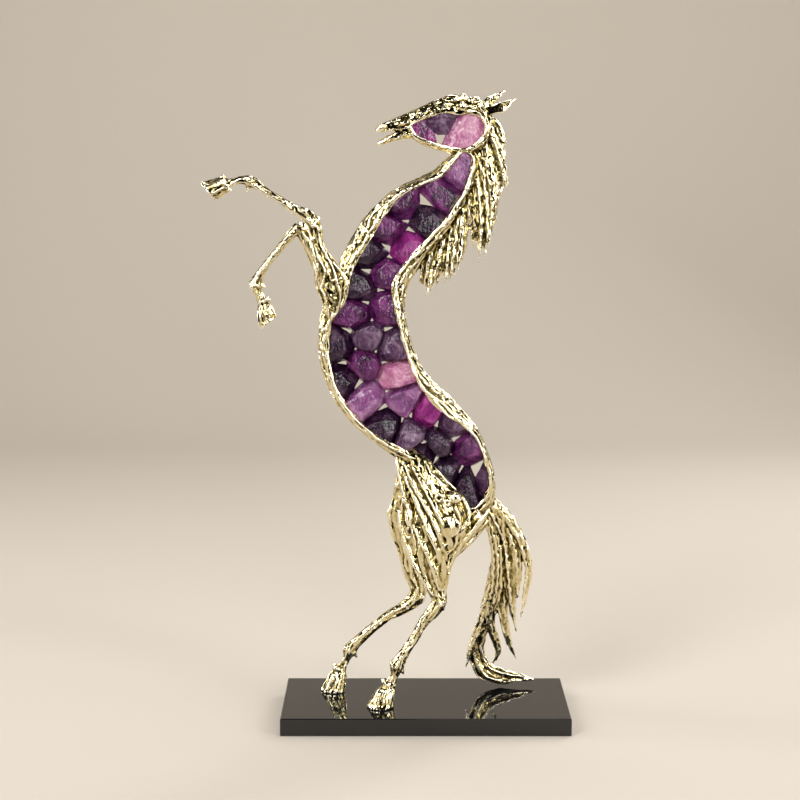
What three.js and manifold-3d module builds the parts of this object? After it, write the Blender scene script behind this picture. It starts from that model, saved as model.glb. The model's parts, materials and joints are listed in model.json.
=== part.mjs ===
// Rearing horse ornament. A pale gold casting makes the horse's outline, legs, mane and tail,
// amethyst chunks fill the open panels of its body and head, and a polished black slab carries it.
// Millimetres, +Z up. The horse faces -X, and its near side faces -Y.
// The origin is the centre of the slab's underside.
import * as THREE from 'three';
import { mergeVertices } from 'three/addons/utils/BufferGeometryUtils.js';
import Module from 'manifold-3d';

const wasm = await Module();
wasm.setup();

// Driving dimensions, in millimetres
const SLAB_LENGTH = 320;
const SLAB_DEPTH = 140;
const SLAB_THICKNESS = 20;
const SLAB_BEVEL = 0.8;
const HORSE_HEIGHT = 680; // from the slab's top to the higher ear's tip
const SEAT_GAP = 0.3; // between the slab and the soles that stand on it
const STONE_GAP = 0.5; // glue joint between one stone and the next
const FRAME_GAP = 0.4; // glue joint between a stone and the gold frame
const STONE_RECESS = 3; // how far a stone's face lies below the frame's lip

// The horse stands on the slab. Its pose and carving are in thousandths of its own height,
// x along the slab and z up from the slab's top, both from the slab's centre.
const SHARE = HORSE_HEIGHT / 1000;
const GROUND = SLAB_THICKNESS + SEAT_GAP;

// Each panel is a closed edge with a gold band outside it. Its rows are x, z, the band's width
// and the half depth of its lip. The body's panel runs from the throat down the chest and belly,
// round the haunch and back up the back and the neck.
const BODY_PANEL = [
  [58, 903, 5, 16],
  [43, 887, 11, 18],
  [20, 863, 14, 20],
  [-2, 855, 11, 21],
  [-43, 834, 12, 23],
  [-69, 801, 21, 25],
  [-83, 778, 25, 26],
  [-115, 726, 23, 28],
  [-124, 700, 25, 29],
  [-130, 670, 28, 29],
  [-152, 635, 19, 30],
  [-157, 609, 16, 30],
  [-157, 577, 16, 30],
  [-141, 520, 14, 30],
  [-111, 476, 14, 30],
  [-73, 444, 14, 30],
  [-50, 432, 20, 30],
  [-29, 421, 22, 30],
  [7, 382, 22, 28],
  [20, 362, 20, 27],
  [34, 361, 20, 27],
  [48, 352, 20, 26],
  [60, 329, 20, 24],
  [80, 329, 20, 23],
  [96, 344, 18, 23],
  [105, 371, 9, 25],
  [100, 398, 8, 26],
  [82, 446, 8, 28],
  [61, 466, 14, 29],
  [23, 493, 24, 30],
  [-12, 537, 17, 30],
  [-26, 572, 12, 30],
  [-45, 640, 13, 29],
  [-52, 672, 21, 28],
  [-51, 697, 25, 27],
  [-39, 717, 23, 25],
  [-4, 759, 19, 23],
  [36, 801, 13, 21],
  [63, 847, 10, 19],
  [72, 896, 10, 16],
];
// The head's panel runs from the nose over the brow, round the cheek and back along the jaw.
const HEAD_PANEL = [
  [-24, 944, 11, 12],
  [-13, 952, 17, 13],
  [3, 958, 19, 14],
  [28, 965, 21, 15],
  [50, 962, 27, 16],
  [69, 964, 24, 17],
  [86, 957, 20, 17],
  [93, 940, 13, 17],
  [84, 921, 13, 17],
  [68, 909, 10, 17],
  [50, 907, 9, 16],
  [28, 911, 9, 15],
  [4, 918, 9, 14],
  [-15, 927, 8, 12],
];

// Legs: each has its bones from the body down, its joints' knobs, the spur behind its fetlock and its
// hoof. Rows are x, z, y, half width and half depth. A hoof is its top and its sole, each x, z,
// half length and the angle of its edge above the level, in degrees. Its heel is cut square at a
// share of that half length.
const LEGS = {
  near_fore: {
    upperSides: 10,
    bones: [
      [
        [-155, 632, -20, 6, 7], [-151, 654, -22, 15, 11], [-150, 690, -26, 26, 14], [-161, 724, -29, 19, 12],
        [-173, 757, -29, 11, 10], [-176, 788, -29, 10, 10],
      ],
      [[-181, 801, -29, 10, 9], [-206, 813, -29, 7.5, 8], [-256, 843, -29, 6.5, 7], [-278, 857, -29, 9, 8]],
      [[-281, 860, -29, 9, 8], [-295, 858, -29, 5.5, 6], [-310, 853, -29, 8, 8]],
    ],
    spur: [[-278, 856, -29, 6, 6], [-281, 848, -29, 4, 4], [-283, 840, -29, 1.5, 1.5]],
    joints: [[-178, 796, -29, 14], [-279, 858, -29, 9.5]],
    hoof: { y: -29, top: [-313, 852, 12, -70], sole: [-342, 839, 20, -50], heel: 0.75 },
  },
  far_fore: {
    upperSides: 10,
    bones: [
      [
        [-152, 640, 16, 8, 8], [-150, 668, 19, 17, 12], [-160, 700, 22, 17, 13], [-178, 735, 24, 13, 11],
        [-198, 778, 24, 10, 9],
      ],
      [[-204, 778, 24, 10, 9], [-222, 765, 24, 7.5, 7.5], [-257, 723, 24, 6, 7], [-273, 697, 24, 8, 8]],
      [[-275, 688, 24, 9, 8], [-272, 675, 24, 6.5, 6.5], [-265, 660, 24, 8, 8]],
    ],
    spur: [[-270, 690, 24, 5, 5], [-264, 687, 24, 3.5, 3.5], [-259, 684, 24, 1.5, 1.5]],
    joints: [[-201, 781, 24, 12], [-276, 688, 24, 11]],
    hoof: { y: 24, top: [-263, 659, 11, 28], sole: [-255, 627, 19, 39], heel: 0.8 },
  },
  near_hind: {
    upperSides: 16,
    bones: [
      [
        [-13, 400, -20, 22, 14], [7, 354, -25, 39, 21], [22, 312, -28, 53, 25], [16, 277, -31, 40, 24],
        [9, 244, -34, 26, 19], [13, 210, -37, 16, 14], [21, 183, -38, 14, 12],
      ],
      [[19, 172, -39, 12, 10], [-3, 142, -40, 8.5, 8], [-22, 110, -41, 7.5, 8], [-42, 80, -43, 9, 9]],
      [[-46, 72, -44, 10, 9], [-54, 54, -45, 8, 8], [-60, 33, -45, 12, 12]],
    ],
    spur: [[-42, 68, -44, 5, 5], [-38, 61, -44, 3.5, 3.5], [-36, 55, -44, 1.5, 1.5]],
    joints: [[24, 175, -39, 14], [-48, 67, -44, 12]],
    hoof: { y: -46, top: [-60, 38, 15, -6], sole: [-72, 0, 24, 0], heel: 0.85 },
  },
  far_hind: {
    upperSides: 16,
    bones: [
      [
        [-24, 392, 18, 24, 14], [-13, 342, 23, 42, 20], [-11, 305, 26, 53, 23], [-16, 270, 28, 42, 21],
        [-19, 240, 30, 27, 17], [-20, 205, 32, 19, 13], [-17, 178, 33, 15, 12],
      ],
      [[-17, 158, 33, 14, 11], [-60, 132, 33, 9, 8], [-88, 110, 34, 8.5, 8], [-120, 80, 35, 9, 9]],
      [[-126, 70, 36, 10, 9], [-135, 55, 36, 8, 8], [-144, 32, 36, 12, 12]],
    ],
    spur: [[-121, 69, 36, 5, 5], [-117, 63, 36, 3.5, 3.5], [-114, 58, 36, 1.5, 1.5]],
    joints: [[-11, 162, 33, 15], [-128, 68, 36, 12]],
    hoof: { y: 36, top: [-143, 38, 14, -6], sole: [-153, 0, 22, 0], heel: 0.85 },
  },
};
const LEG_SIDES = 10; // half of a limb's corners are sinew ridges
const SMALL_SIDES = 5;
const LEG_FLUTE = 0.08; // a sinew stands this share of the limb's width above its hollows
const LIMB_STEP = 24; // between a limb's rings, in shares
const DOME_HEIGHT = 0.5; // a limb's end over its half width
const KNOB_DETAIL = 1; // times that a joint's icosahedron is split
const HOOF_NARROWNESS = 0.85; // a hoof's half depth over its half length
// A hoof's rings from the coronet to the sole: the edge each follows, its growth and its lift in shares
const HOOF_RINGS = [['top', 0.9, 2], ['top', 1.1, -3], ['sole', 0.95, 4], ['sole', 1, 0]];

// The muzzle's lips, the ears and the small masses of the head: x, z, y, half width, half depth
const LIPS = [
  [[-10, 950, 0, 14, 13], [-46, 946, 0, 10, 11], [-67, 940, 0, 7, 10], [-83, 936, 0, 3, 6]],
  [[-24, 928, 0, 9, 10], [-48, 929, 0, 9, 9], [-66, 919, 0, 5, 8], [-78, 914, 0, 3.5, 5]],
];
const LIP_SIDES = 8;
const EARS = [
  [[94, 976, 11, 9, 5], [108, 986, 13, 7, 4], [127, 999, 14, 1, 1]],
  [[98, 968, -11, 6, 5], [118, 971, -13, 8, 4], [141, 984, -14, 1, 1]],
];
const EAR_SIDES = 6;
const HEAD_KNOBS = [[96, 969, 0, 14], [58, 975, -12, 8], [58, 975, 12, 8]];

// Locks of hair: root, middle and tip as x, z, then y, the lock's half width and its tip's shift in y.
const MANE = [
  [[98, 960], [115, 940], [128, 912], -5, 6, -3],
  [[95, 952], [117, 893], [133, 841], 4, 6, 5],
  [[92, 944], [114, 876], [119, 833], -7, 7, -4],
  [[88, 934], [108, 859], [111, 806], 5, 8, 4],
  [[84, 924], [102, 827], [102, 759], -5, 9, -4],
  [[80, 914], [95, 811], [98, 739], 7, 8, 3],
  [[76, 902], [86, 803], [85, 720], -3, 9, -6],
  [[72, 890], [78, 815], [72, 759], 8, 8, 6],
  [[68, 872], [67, 818], [63, 768], -5, 8, -6],
  [[61, 842], [60, 772], [56, 712], 5, 8, 3],
  [[52, 822], [44, 746], [39, 685], -6, 8, -5],
  [[43, 808], [28, 737], [20, 682], 4, 8, 5],
  [[30, 796], [12, 725], [-2, 670], -4, 8, -4],
  [[16, 778], [-3, 730], [-13, 692], 5, 7, 2],
];
// Tail locks: rows are x, z, y, half width
const TAIL = [
  [
    [100, 342, 2, 9], [134, 310, 2, 8], [159, 266, 3, 8], [171, 222, 4, 6], [167, 182, 6, 5],
    [159, 135, 8, 1.5],
  ],
  [[96, 344, 5, 8], [120, 316, 6, 9], [146, 262, 8, 9], [154, 215, 10, 7], [153, 168, 13, 1.5]],
  [[98, 338, 8, 10], [128, 285, 11, 12], [139, 225, 13, 12], [144, 165, 18, 8], [153, 105, 22, 1.5]],
  [
    [98, 328, 14, 9], [121, 266, 18, 12], [128, 207, 22, 12], [130, 138, 30, 9], [141, 86, 36, 6],
    [154, 55, 38, 1.5],
  ],
  [
    [96, 328, 6, 8], [117, 256, 10, 10], [119, 187, 18, 11], [110, 120, 34, 8], [124, 66, 48, 5],
    [115, 42, 52, 1.5],
  ],
  [
    [98, 326, 12, 7], [123, 253, 20, 10], [117, 176, 32, 11], [99, 114, 46, 11], [89, 66, 57, 9],
    [101, 27, 64, 8.5], [129, 9, 68, 7.5], [158, 8, 69, 6], [188, 10, 70, 1.5],
  ],
  [[116, 231, 20, 7], [107, 180, 22, 7], [92, 147, 22, 1.5]],
  [[95, 106, 46, 7], [79, 71, 50, 5.5], [70, 35, 52, 1.5]],
];
const LOCK_SIDES = 5;
const LOCK_STEP = 44; // between a lock's rings, in shares
const LOCK_FLATNESS = 0.8; // a lock's depth over its width
// A mane lock's width at its root, middle and late stretch, over its full width, and its tip's half width
const MANE_WIDTHS = { root: 0.8, middle: 1, late: 0.85 };
const MANE_TIP = 1.5;
const MANE_LATE = 0.6; // where the late stretch lies between the middle and the tip
const MANE_SHIFTS = { middle: 0.5, late: 0.8 }; // shares of the tip's shift in y

// Stones: the middle of each, x and z, and the shade it is cut from
const BODY_STONES = [
  [50, 873, 'lilac'], [23, 834, 'violet'], [-39, 818, 'violet'], [2, 796, 'plum'], [-58, 776, 'violet'],
  [-32, 754, 'magenta'], [-91, 740, 'plum'], [-65, 709, 'violet'], [-106, 689, 'plum'], [-64, 654, 'violet'],
  [-114, 643, 'violet'], [-140, 593, 'plum'], [-96, 607, 'smoky'], [-51, 591, 'smoky'], [-104, 562, 'violet'],
  [-131, 539, 'plum'], [-47, 545, 'rose'], [-96, 506, 'lilac'], [-35, 506, 'lilac'], [2, 485, 'magenta'],
  [-65, 464, 'plum'], [-22, 445, 'smoky'], [21, 435, 'plum'], [41, 462, 'smoky'], [68, 424, 'violet'],
  [-6, 414, 'plum'], [34, 385, 'plum'], [69, 366, 'plum'], [96, 374, 'smoky'],
];
const HEAD_STONES = [[-10, 936, 'magenta'], [21, 951, 'smoky'], [58, 931, 'rose']];
const CORNER_CUT = 0.2; // share of each edge that a stone's chipped corner takes
const STONE_CROWN = 0.72; // size of a stone's flat face over its outline

const OUTLINE_REACH = 90; // a stone's outline starts as a square of this half size, in shares

// Panels as built: points round each edge, points across the gold band's oval shell, how far the shell
// reaches in past the edge before the panel's cut trims it, and the cut's depth, in shares
const BODY_SAMPLES = 66;
const HEAD_SAMPLES = 24;
const SHELL_POINTS = 7;
const LET_IN = 4;
const PLUG_DEPTH = 400;

const SHADES = {
  lilac: 0x9a62b4,
  violet: 0x5f2a72,
  magenta: 0x84206f,
  plum: 0x321538,
  smoky: 0x5a4060,
  rose: 0xc07aa6,
};
const AMETHYST_ROUGHNESS = 0.25;
const BLACK_STONE = { colour: 0x1a1a1e, roughness: 0.06 };
const PALE_GOLD = { colour: 0xe2d3a0, roughness: 0.18 };

// Vertices and triangles as a manifold-3d solid that faces out
function solidFrom(points, faces) {
  let volume = 0;
  for (const [a, b, c] of faces) {
    volume += points[a].dot(new THREE.Vector3().crossVectors(points[b], points[c])) / 6;
  }
  const outward = volume > 0 ? faces : faces.map(([a, b, c]) => [a, c, b]);
  return new wasm.Manifold(new wasm.Mesh({
    numProp: 3,
    vertProperties: new Float32Array(points.flatMap((p) => p.toArray())),
    triVerts: new Uint32Array(outward.flat()),
  }));
}

// A three.js geometry as a solid
function solidOf(geometry) {
  const bare = geometry.clone();
  bare.deleteAttribute('normal');
  bare.deleteAttribute('uv');
  const merged = mergeVertices(bare, 1e-4);
  const spots = merged.getAttribute('position');
  const pointAt = (_, i) => new THREE.Vector3().fromBufferAttribute(spots, i);
  const points = Array.from({ length: spots.count }, pointAt);
  const faces = [];
  for (let i = 0; i < merged.index.count; i += 3) {
    faces.push([merged.index.getX(i), merged.index.getX(i + 1), merged.index.getX(i + 2)]);
  }
  return solidFrom(points, faces);
}

// A solid as a three.js geometry
function geometryOf(solid) {
  const mesh = solid.getMesh();
  const geometry = new THREE.BufferGeometry();
  geometry.setAttribute('position', new THREE.BufferAttribute(mesh.vertProperties, 3));
  geometry.setIndex(new THREE.BufferAttribute(mesh.triVerts, 1));
  geometry.computeVertexNormals();
  return geometry;
}

const joined = (solids) => solids.reduce((sum, solid) => sum.add(solid));

// A point of the pose in millimetres
const place = (x, z, y = 0) => new THREE.Vector3(x * SHARE, y * SHARE, GROUND + z * SHARE);

// Skin over rings of points. A closed skin joins the last ring to the first,
// and an open one ends in a fan round the point given for each end.
function skin(rings, ends = null) {
  const count = rings[0].length;
  const points = rings.flat();
  const faces = [];
  const spans = ends ? rings.length - 1 : rings.length;
  for (let i = 0; i < spans; i++) {
    const here = i * count;
    const next = ((i + 1) % rings.length) * count;
    for (let j = 0; j < count; j++) {
      const k = (j + 1) % count;
      faces.push([here + j, here + k, next + k], [here + j, next + k, next + j]);
    }
  }
  if (ends) {
    const start = points.push(ends[0]) - 1;
    const finish = points.push(ends[1]) - 1;
    const last = (rings.length - 1) * count;
    for (let j = 0; j < count; j++) {
      const k = (j + 1) % count;
      faces.push([start, k, j], [finish, last + j, last + k]);
    }
  }
  return solidFrom(points, faces);
}

// A tapering limb, lock or ear along a smooth line through rows of x, z, y, half width, half depth.
// Its rings lie about one step apart, and the corners of a fluted one stand out in turn.
function limb(rows, { sides = LEG_SIDES, step = LIMB_STEP, flute = 0 } = {}) {
  const line = new THREE.CatmullRomCurve3(rows.map(([x, z, y]) => place(x, z, y)));
  const sizes = new THREE.CatmullRomCurve3(
    rows.map(([, , , width, depth]) => new THREE.Vector3(width * SHARE, depth * SHARE, 0)));
  const rings = [];
  const count = Math.max(rows.length - 1, Math.round(line.getLength() / (step * SHARE)));
  for (let i = 0; i <= count; i++) {
    const t = line.getUtoTmapping(i / count);
    const middle = line.getPoint(t);
    const along = line.getTangent(t);
    const size = sizes.getPoint(t);
    const side = new THREE.Vector3(0, 1, 0).addScaledVector(along, -along.y).normalize();
    const across = new THREE.Vector3().crossVectors(side, along);
    rings.push(Array.from({ length: sides }, (_, j) => {
      const angle = (2 * Math.PI * j) / sides;
      const ridge = 1 + (j % 2 ? -flute : flute);
      return middle.clone()
        .addScaledVector(across, size.x * ridge * Math.cos(angle))
        .addScaledVector(side, size.y * ridge * Math.sin(angle));
    }));
  }
  const dome = (t, way) => line.getPoint(t)
    .addScaledVector(line.getTangent(t), way * DOME_HEIGHT * sizes.getPoint(t).x);
  return skin(rings, [dome(0, -1), dome(1, 1)]);
}

// A joint or knob: x, z, y and radius
function knob([x, z, y, radius]) {
  const centre = place(x, z, y);
  const ball = new THREE.IcosahedronGeometry(radius * SHARE, KNOB_DETAIL);
  return solidOf(ball.translate(centre.x, centre.y, centre.z));
}

// A hoof: round at the top, flaring to a flat sole whose heel is cut square
function hoof({ y, top, sole, heel }) {
  const edge = ([x, z, half, degrees], grow, lift) => {
    const angle = THREE.MathUtils.degToRad(degrees);
    const forward = new THREE.Vector3(-Math.cos(angle), 0, -Math.sin(angle));
    const up = new THREE.Vector3(-forward.z, 0, forward.x).multiplyScalar(forward.x < 0 ? -1 : 1);
    return Array.from({ length: LEG_SIDES }, (_, j) => {
      const turn = (2 * Math.PI * (j + 0.5)) / LEG_SIDES;
      const reach = Math.max(Math.cos(turn), -heel);
      return place(x, z, y)
        .addScaledVector(forward, reach * half * grow * SHARE)
        .addScaledVector(up, lift * SHARE)
        .add(new THREE.Vector3(0, Math.sin(turn) * half * grow * HOOF_NARROWNESS * SHARE, 0));
    });
  };
  const edges = { top, sole };
  const rings = HOOF_RINGS.map(([name, grow, lift]) => edge(edges[name], grow, lift));
  return skin(rings, [place(top[0], top[1], y), place(sole[0], sole[1], y)]);
}

// Evenly spread points of a closed edge, each with its outward direction, band and lip
function trace(edge, count) {
  const line = new THREE.CatmullRomCurve3(edge.map(([x, z]) => new THREE.Vector3(x, 0, z)), true);
  const sizes = new THREE.CatmullRomCurve3(
    edge.map(([, , width, lip]) => new THREE.Vector3(width, lip, 0)), true);
  const turn = Math.sign(THREE.ShapeUtils.area(edge.map(([x, z]) => new THREE.Vector2(x, z))));
  return Array.from({ length: count }, (_, i) => {
    const t = line.getUtoTmapping(i / count);
    const spot = line.getPoint(t);
    const along = line.getTangent(t);
    const size = sizes.getPoint(t);
    return { x: spot.x, z: spot.z, out: [along.z * turn, -along.x * turn], band: size.x, lip: size.y };
  });
}

// The gold band round a panel: an oval shell outside the edge, let in a little so that the cut trims it
function band(spots) {
  return skin(spots.map(({ x, z, out, band: width, lip }) => {
    const at = (n, y) => place(x + out[0] * n, z + out[1] * n, y);
    const shell = Array.from({ length: SHELL_POINTS }, (_, i) => {
      const angle = Math.PI * (i / (SHELL_POINTS - 1) - 0.5);
      return at(width * Math.cos(angle), lip * Math.sin(angle));
    });
    return [...shell, at(-LET_IN, lip), at(-LET_IN, -lip)];
  }));
}

// A straight-sided plug through the horse with the panel's outline, shrunk by a clearance in mm
function plug(spots, clearance) {
  const shape = new THREE.Shape(spots.map(({ x, z, out }) => {
    const spot = place(x, z);
    return new THREE.Vector2(spot.x - out[0] * clearance, spot.z - out[1] * clearance);
  }));
  const depth = PLUG_DEPTH * SHARE;
  const geometry = new THREE.ExtrudeGeometry(shape, { depth, bevelEnabled: false });
  return solidOf(geometry.rotateX(Math.PI / 2).translate(0, depth / 2, 0));
}

// Part of a convex outline on the near side of the line halfway between two stones
function halfOf(outline, here, there) {
  const away = there.clone().sub(here).normalize();
  const limit = here.clone().add(there).multiplyScalar(0.5).dot(away) - STONE_GAP / 2;
  const kept = [];
  outline.forEach((p, i) => {
    const q = outline[(i + 1) % outline.length];
    const a = p.dot(away) - limit;
    const b = q.dot(away) - limit;
    if (a <= 0) kept.push(p);
    if (a * b < 0) kept.push(p.clone().lerp(q, a / (a - b)));
  });
  return kept;
}

// An outline with its corners chipped off
function chipped(outline) {
  return outline.flatMap((p, i) => {
    const before = outline[(i + outline.length - 1) % outline.length];
    const after = outline[(i + 1) % outline.length];
    return [p.clone().lerp(before, CORNER_CUT), p.clone().lerp(after, CORNER_CUT)];
  });
}

// One chunk of stone: its outline, with a smaller flat face towards each side of the horse
function chunk(outline, thickness) {
  const middle = outline.reduce((sum, p) => sum.add(p), new THREE.Vector2()).divideScalar(outline.length);
  const ring = (size, depth) => outline.map((p) => {
    const q = middle.clone().lerp(p, size);
    return new THREE.Vector3(q.x, depth * thickness, q.y);
  });
  const ends = [-1, 1].map((way) => new THREE.Vector3(middle.x, way * thickness, middle.y));
  return skin([ring(STONE_CROWN, -1), ring(1, 0), ring(STONE_CROWN, 1)], ends);
}

// The stones of one panel, packed so that neighbours meet halfway and only their corners leave gaps
function stones(rows, spots, name) {
  const middles = rows.map(([x, z]) => {
    const spot = place(x, z);
    return new THREE.Vector2(spot.x, spot.z);
  });
  const bed = plug(spots, FRAME_GAP);
  return rows.map(([x, z, shade], i) => {
    const reach = OUTLINE_REACH * SHARE;
    const square = [[-1, -1], [1, -1], [1, 1], [-1, 1]]
      .map(([a, b]) => middles[i].clone().add(new THREE.Vector2(a * reach, b * reach)));
    const others = middles.filter((middle) => middle !== middles[i]);
    const outline = others.reduce((cell, other) => halfOf(cell, middles[i], other), square);
    const nearest = spots.reduce((best, s) =>
      (Math.hypot(s.x - x, s.z - z) < Math.hypot(best.x - x, best.z - z) ? s : best));
    const thickness = nearest.lip * SHARE - STONE_RECESS;
    const solid = chunk(chipped(outline), thickness).intersect(bed);
    return { name: `${name}_${String(i + 1).padStart(2, '0')}`, shade, solid };
  });
}

// The slab, with its top edges softened
function slab() {
  const half = new THREE.Vector2(SLAB_LENGTH / 2, SLAB_DEPTH / 2);
  const ring = (inset, z) => [[-1, -1], [1, -1], [1, 1], [-1, 1]]
    .map(([a, b]) => new THREE.Vector3(a * (half.x - inset), b * (half.y - inset), z));
  const rings = [
    ring(SLAB_BEVEL, 0), ring(0, SLAB_BEVEL), ring(0, SLAB_THICKNESS - SLAB_BEVEL),
    ring(SLAB_BEVEL, SLAB_THICKNESS),
  ];
  return skin(rings, [new THREE.Vector3(0, 0, 0), new THREE.Vector3(0, 0, SLAB_THICKNESS)]);
}

// The gold casting: bands, head, legs and hair as one solid, with the panels cut out and the soles cut level
const bodySpots = trace(BODY_PANEL, BODY_SAMPLES);
const headSpots = trace(HEAD_PANEL, HEAD_SAMPLES);

function lock(rows) {
  const sized = rows.map(([x, z, y, width]) => [x, z, y, width, width * LOCK_FLATNESS]);
  return limb(sized, { sides: LOCK_SIDES, step: LOCK_STEP });
}

// A lock of the mane keeps its width until most of the way to its tip
function maneLock([root, middle, tip, y, width, shift]) {
  const late = middle.map((value, i) => THREE.MathUtils.lerp(value, tip[i], MANE_LATE));
  return lock([
    [...root, y, width * MANE_WIDTHS.root],
    [...middle, y + shift * MANE_SHIFTS.middle, width * MANE_WIDTHS.middle],
    [...late, y + shift * MANE_SHIFTS.late, width * MANE_WIDTHS.late],
    [...tip, y + shift, MANE_TIP],
  ]);
}

function horse() {
  const solids = [band(bodySpots), band(headSpots)];
  for (const leg of Object.values(LEGS)) {
    const [upper, ...lower] = leg.bones;
    solids.push(limb(upper, { sides: leg.upperSides, flute: LEG_FLUTE }));
    solids.push(...lower.map((rows) => limb(rows, { sides: LEG_SIDES, flute: LEG_FLUTE })));
    solids.push(limb(leg.spur, { sides: SMALL_SIDES }));
    solids.push(...leg.joints.map(knob));
    solids.push(hoof(leg.hoof));
  }
  solids.push(...LIPS.map((rows) => limb(rows, { sides: LIP_SIDES })));
  solids.push(...EARS.map((rows) => limb(rows, { sides: EAR_SIDES })));
  solids.push(...HEAD_KNOBS.map(knob));
  solids.push(...MANE.map(maneLock), ...TAIL.map(lock));
  const underground = new THREE.BoxGeometry(2 * HORSE_HEIGHT, HORSE_HEIGHT, HORSE_HEIGHT)
    .translate(0, 0, GROUND - HORSE_HEIGHT / 2);
  return joined(solids)
    .subtract(plug(bodySpots, 0))
    .subtract(plug(headSpots, 0))
    .subtract(solidOf(underground));
}

function material(colour, roughness, metalness) {
  return new THREE.MeshStandardMaterial({ color: colour, roughness, metalness });
}

const root = new THREE.Group();
function addPiece(name, solid, finish) {
  const mesh = new THREE.Mesh(geometryOf(solid), finish);
  mesh.name = name;
  root.add(mesh);
}

addPiece('slab', slab(), material(BLACK_STONE.colour, BLACK_STONE.roughness, 0));
addPiece('horse_casting', horse(), material(PALE_GOLD.colour, PALE_GOLD.roughness, 1));
const panelStones = [
  ...stones(BODY_STONES, bodySpots, 'body_stone'),
  ...stones(HEAD_STONES, headSpots, 'head_stone'),
];
for (const { name, shade, solid } of panelStones) {
  addPiece(name, solid, material(SHADES[shade], AMETHYST_ROUGHNESS, 0));
}

export default root;
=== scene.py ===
"""Rearing horse ornament: a polished champagne-gold casting, amethyst chunks and a polished black slab.

The casting is modelled as a founder's wax is: cores for the bones, bands and locks, strands of wax laid along
them for the sinews and the hair, then the whole fused, softened, grooved with a tool and cut level below.
Metres, +Z up. The horse faces -X, and its near side faces -Y.
"""
import json
import math

import bmesh
import bpy
import numpy as np
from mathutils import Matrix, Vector, kdtree, noise


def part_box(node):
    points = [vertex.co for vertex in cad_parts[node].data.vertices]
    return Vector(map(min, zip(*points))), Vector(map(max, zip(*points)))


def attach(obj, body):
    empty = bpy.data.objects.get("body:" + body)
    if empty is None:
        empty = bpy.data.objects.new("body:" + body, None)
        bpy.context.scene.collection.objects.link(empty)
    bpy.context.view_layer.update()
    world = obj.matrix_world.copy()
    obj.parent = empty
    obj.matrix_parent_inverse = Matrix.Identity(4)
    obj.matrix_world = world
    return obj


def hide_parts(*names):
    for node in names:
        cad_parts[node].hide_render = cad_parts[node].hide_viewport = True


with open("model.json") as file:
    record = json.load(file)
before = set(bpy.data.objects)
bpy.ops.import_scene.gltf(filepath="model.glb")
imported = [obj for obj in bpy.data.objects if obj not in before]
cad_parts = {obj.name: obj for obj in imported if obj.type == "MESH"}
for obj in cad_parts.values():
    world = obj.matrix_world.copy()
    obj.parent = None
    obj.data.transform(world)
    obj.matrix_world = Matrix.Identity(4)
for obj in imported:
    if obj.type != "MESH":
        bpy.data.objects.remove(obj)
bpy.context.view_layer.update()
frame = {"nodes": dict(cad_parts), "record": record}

MM = 0.001

# Driving sizes
HORSE_HEIGHT = 680 * MM  # from the slab's top to the higher ear's tip
SHARE = HORSE_HEIGHT / 1000  # the pose below is in thousandths of the horse's height
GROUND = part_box("horse_casting")[0].z  # the soles' level, a seat gap above the slab's top
SEED = 7

# The wax and the casting
WAX_GRAIN = 0.95 * MM  # finest detail that the fused casting keeps
CASTING_TRIANGLES = 194000
FORM_STEP = 3 * MM  # between the sections of a limb, a band or a lock
CURVE_STEPS = 12  # trial points between two rows, before they are spaced evenly
CORE_STEP = 4 * MM
STRAND_STEP = 2.4 * MM
BALL_RINGS = 7
HOLLOW_CORNERS = 12
SWELL_LENGTH = 35 * MM  # a strand swells and thins about once along this
WANDER_LENGTH = 60 * MM  # and wanders to both sides about once along this
TOOL_MARK = 1.9 * MM  # the wax tool's marks: their width, their depth, and how much longer they are than wide
TOOL_DEPTH = 0.8 * MM
TOOL_STRETCH = 6

# The chunks
STONE_GRAIN = 1.0 * MM  # finest detail that a chunk keeps
STONE_OVERLAP = 1.5 * MM  # how far the chunks reach into each other's cells, where they are glued
HEAD_OVERLAP = {  # the head's chunks lap over each other by more: along x, y and z
    "head_stone_01": (2.5 * MM, 0, 2 * MM),
    "head_stone_02": (5 * MM, 0, 12 * MM),
    "head_stone_03": (3.5 * MM, 0, 1.5 * MM),
}
NEAR_BREAKS = 6  # broken faces on a chunk's near side
FAR_BREAKS = 3
BREAK_SLANT = 0.45  # how far a broken face leans, as a share of facing the side squarely
HEAD_BREAK_SLANT = 0.2
BREAK_DEPTH = (0.82, 0.95)  # where it cuts, as a share of the chunk's reach
WEAR = 0.3 * MM  # the worn skin's rise over the cut faces
LUMP_SIZE = 9 * MM
LUMP_HEIGHT = 0.6 * MM
CHIP_SIZE = 2.8 * MM
CHIP_HEIGHT = 0.35 * MM

rng = np.random.default_rng(SEED)

# Panels: rows of x, z, the gold band's width outside the edge and the lip's half depth
BODY_PANEL = [
    (58, 903, 5, 16), (43, 887, 11, 18), (20, 863, 14, 20), (-2, 855, 11, 21), (-43, 834, 12, 23),
    (-69, 801, 21, 25), (-83, 778, 25, 26), (-115, 726, 23, 28), (-124, 700, 25, 29), (-130, 670, 28, 29),
    (-152, 635, 19, 30), (-157, 609, 16, 30), (-157, 577, 16, 30), (-141, 520, 14, 30), (-111, 476, 14, 30),
    (-73, 444, 14, 30), (-50, 432, 20, 30), (-29, 421, 22, 30), (7, 382, 22, 28), (20, 362, 20, 27),
    (34, 361, 20, 27), (48, 352, 20, 26), (60, 329, 20, 24), (80, 329, 20, 23), (96, 344, 18, 23),
    (105, 371, 9, 25), (100, 398, 8, 26), (82, 446, 8, 28), (61, 466, 14, 29), (23, 493, 24, 30),
    (-12, 537, 17, 30), (-26, 572, 12, 30), (-45, 640, 13, 29), (-52, 672, 21, 28), (-51, 697, 25, 27),
    (-39, 717, 23, 25), (-4, 759, 19, 23), (36, 801, 13, 21), (63, 847, 10, 19), (72, 896, 10, 16),
]
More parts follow.
